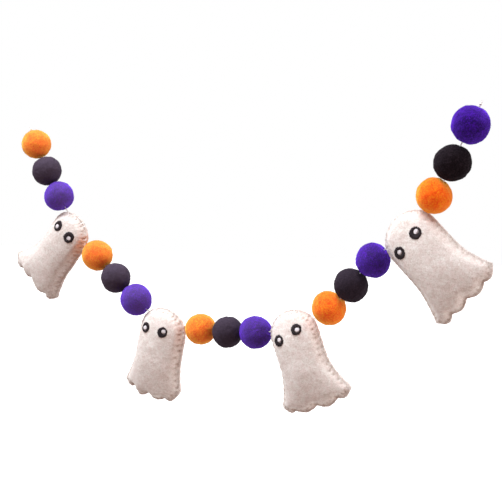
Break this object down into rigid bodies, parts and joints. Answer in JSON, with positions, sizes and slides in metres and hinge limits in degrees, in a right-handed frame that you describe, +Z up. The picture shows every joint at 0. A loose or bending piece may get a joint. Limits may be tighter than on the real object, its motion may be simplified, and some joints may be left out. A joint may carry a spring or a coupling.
{
  "type": "felt ball garland with felt ghosts",
  "caption": "Hanging garland of round wool felt balls and stuffed felt ghosts with stitched eyes, threaded side by side on a thin cotton thread.",
  "frame": {"origin": "centre of the knot at the thread's left end, seen from the front", "axes": "+X along the hanging garland to its right end, +Y to its back, +Z up; the ghosts' faces look towards -Y"},
  "size_m": [0.416, 0.0258, 0.2264],
  "materials": {
    "felt_orange": "matt orange wool felt with short fuzz",
    "felt_black": "matt charcoal black wool felt with short fuzz",
    "felt_purple": "matt purple wool felt with short fuzz",
    "felt_ivory": "ivory sheet felt, whip stitched at the rim in ivory thread",
    "eye_black": "black embroidery thread in close radial stitches",
    "eye_white": "white embroidery thread",
    "thread_cotton": "twisted off-white cotton thread"
  },
  "bodies": {
    "root": {"ball_01": "felt_orange", "ball_02": "felt_black", "ball_03": "felt_purple", "ball_04": "felt_orange", "ball_05": "felt_black", "ball_06": "felt_purple", "ball_07": "felt_orange", "ball_08": "felt_black", "ball_09": "felt_purple", "ball_10": "felt_orange", "ball_11": "felt_black", "ball_12": "felt_purple", "ball_13": "felt_orange", "ball_14": "felt_black", "ball_15": "felt_purple", "ghost_1": "felt_ivory", "ghost_2": "felt_ivory", "ghost_3": "felt_ivory", "ghost_4": "felt_ivory", "eye_1_left": "eye_black", "eye_1_right": "eye_black", "eye_2_left": "eye_black", "eye_2_right": "eye_black", "eye_3_left": "eye_black", "eye_3_right": "eye_black", "eye_4_left": "eye_black", "eye_4_right": "eye_black", "eye_spot_1_left": "eye_white", "eye_spot_1_right": "eye_white", "eye_spot_2_left": "eye_white", "eye_spot_2_right": "eye_white", "eye_spot_3_left": "eye_white", "eye_spot_3_right": "eye_white", "eye_spot_4_left": "eye_white", "eye_spot_4_right": "eye_white", "thread": "thread_cotton"}
  },
  "joints": []
}
